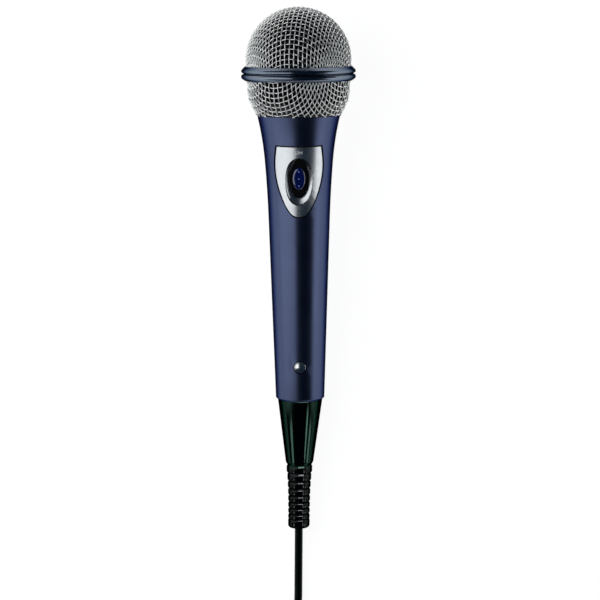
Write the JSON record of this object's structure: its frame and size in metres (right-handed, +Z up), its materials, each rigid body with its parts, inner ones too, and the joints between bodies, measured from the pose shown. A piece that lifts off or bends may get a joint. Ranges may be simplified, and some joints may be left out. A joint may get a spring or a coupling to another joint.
{
  "type": "karaoke microphone",
  "caption": "Wired handheld dynamic microphone with a round mesh head, banded ring, tapered metal handle, thumb switch, ribbed cord boot and jack plug.",
  "frame": {"origin": "on the table under the middle of the microphone's own length and width, with the loose cord left out", "axes": "+Z up with the switch facing up, +Y towards the head along the length as it lies, +X to the right when looking towards the head"},
  "size_m": [0.0773, 0.436, 0.0561],
  "materials": {
    "body_paint": "semi-gloss metallic slate blue",
    "ring_paint": "semi-gloss metallic slate blue",
    "neck_metal": "turned",
    "mount_rubber": "matte",
    "capsule_plastic": "matte",
    "yoke_steel": "plated",
    "magnet_grey": "satin",
    "pole_steel": "plated",
    "copper_winding": "enamelled",
    "film_ring_plastic": "matte",
    "film": "glossy film",
    "cap_plastic": "matte",
    "collar_metal": "satin black",
    "dome_wire": "nickel plated wire",
    "basket_wire": "nickel plated wire",
    "dome_foam_black": "open-cell foam",
    "basket_foam_black": "open-cell foam",
    "plate_chrome": "polished",
    "slide_black": "glossy",
    "knob_blue": "glossy clear-coated",
    "lever_plastic": "matte",
    "switch_steel": "plated",
    "switch_screw_steel": "plated",
    "terminal_brass": "tinned",
    "bush_nylon": "matte",
    "screw_chrome": "polished",
    "boot_black": "glossy moulded",
    "core_jacket": "satin",
    "cord_lead_jacket": "satin",
    "capsule_lead_jacket": "satin",
    "cord_jacket": "satin",
    "coil_jacket": "satin",
    "tie_plastic": "matte",
    "tail_jacket": "satin",
    "plug_boot_plastic": "matte",
    "plug_shell_metal": "satin nickel",
    "plug_sleeve_metal": "nickel plated",
    "plug_insulator_plastic": "matte",
    "plug_tip_metal": "nickel plated"
  },
  "bodies": {
    "handle": {"handle_shell": "body_paint", "neck_sleeve": "neck_metal", "shock_mount": "mount_rubber", "capsule_housing": "capsule_plastic", "magnet_yoke": "yoke_steel", "magnet": "magnet_grey", "pole_plate": "pole_steel", "voice_coil": "copper_winding", "film_ring": "film_ring_plastic", "diaphragm": "film", "capsule_cap": "cap_plastic", "switch_plate": "plate_chrome", "slide_switch": "switch_steel", "switch_screws": "switch_screw_steel", "switch_terminals": "terminal_brass", "tail_bush": "bush_nylon", "set_screw": "screw_chrome", "strain_relief": "boot_black", "cord_core": "core_jacket", "cord_leads": "cord_lead_jacket", "capsule_leads": "capsule_lead_jacket", "cord_tube": "cord_jacket", "cord_coil": "coil_jacket", "cord_tie": "tie_plastic", "cord_tail": "tail_jacket", "plug_boot": "plug_boot_plastic", "plug_shell": "plug_shell_metal", "plug_sleeve": "plug_sleeve_metal", "plug_insulator": "plug_insulator_plastic", "plug_tip": "plug_tip_metal"},
    "grille_head": {"grille_collar": "collar_metal", "grille_ring": "ring_paint", "dome_grille": "dome_wire", "basket_grille": "basket_wire", "dome_foam": "dome_foam_black", "basket_foam": "basket_foam_black"},
    "switch_slider": {"thumb_slide": "slide_black", "thumb_knob": "knob_blue", "switch_lever": "lever_plastic"}
  },
  "joints": [
    {"name": "head_off", "type": "slide", "parent": "handle", "child": "grille_head", "axis": [0, 0.9949, 0.1013], "range_m": [0, 0.06]},
    {"name": "switch_slide", "type": "slide", "parent": "handle", "child": "switch_slider", "axis": [0, 0.9858, 0.1682], "range_m": [-0.003, 0]}
  ]
}
